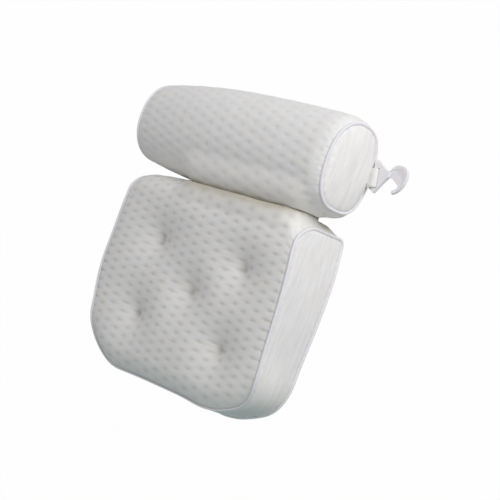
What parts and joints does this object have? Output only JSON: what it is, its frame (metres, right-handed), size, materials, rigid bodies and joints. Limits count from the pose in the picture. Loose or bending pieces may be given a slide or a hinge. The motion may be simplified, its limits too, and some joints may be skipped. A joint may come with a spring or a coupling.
{
  "type": "bath pillow",
  "caption": "Quilted bath pillow: a tufted wedge for the back, a head roll hinged to it by a fabric strip, suction cups behind and a hook to hang it up.",
  "frame": {"origin": "under the middle of the whole part, on the plane of the suction cups' rims", "axes": "+Z out of the front that the bather leans on, +Y from the foot to the head roll, +X to the side with the hook"},
  "size_m": [0.4094, 0.398, 0.129],
  "materials": {
    "quilted_knit": "matte quilted knit",
    "plain_knit": "matte plain knit",
    "spacer_mesh": "open spacer mesh",
    "piping": "smooth corded binding",
    "filling": "open foam",
    "thread": "twisted thread",
    "suction_cup": "clear soft vinyl",
    "hinge_fabric": "plain woven strip",
    "webbing": "plain woven webbing",
    "hook": "satin moulded plastic"
  },
  "bodies": {
    "backrest": {"backrest_front_panel": "quilted_knit", "backrest_gusset": "plain_knit", "backrest_back_panel": "spacer_mesh", "backrest_piping": "piping", "backrest_core": "filling", "tuft_tie_1": "thread", "tuft_tie_2": "thread", "tuft_tie_3": "thread", "tuft_tie_4": "thread", "tuft_tie_5": "thread", "backrest_cup_1": "suction_cup", "backrest_cup_2": "suction_cup", "backrest_cup_3": "suction_cup", "backrest_cup_4": "suction_cup", "hinge_flap_backrest": "hinge_fabric"},
    "roll": {"roll_cover": "quilted_knit", "roll_core": "filling", "roll_end_left": "plain_knit", "roll_piping_left": "piping", "roll_end_right": "plain_knit", "roll_piping_right": "piping", "roll_cup_1": "suction_cup", "roll_cup_2": "suction_cup", "roll_cup_3": "suction_cup", "hinge_flap_roll": "hinge_fabric", "hang_loop": "webbing"},
    "hook": {"hang_hook": "hook"}
  },
  "joints": [
    {"name": "roll_fold", "type": "hinge", "parent": "backrest", "child": "roll", "pos_m": [-0.02817, 0.0665, 0.0117], "axis": [-1, 0, 0], "range_deg": [0, 120]},
    {"name": "hook_swing", "type": "hinge", "parent": "roll", "child": "hook", "pos_m": [0.15508, 0.1363, 0.0355], "axis": [-0.2419, 0.9703, 0], "range_deg": [-80, 80]}
  ]
}
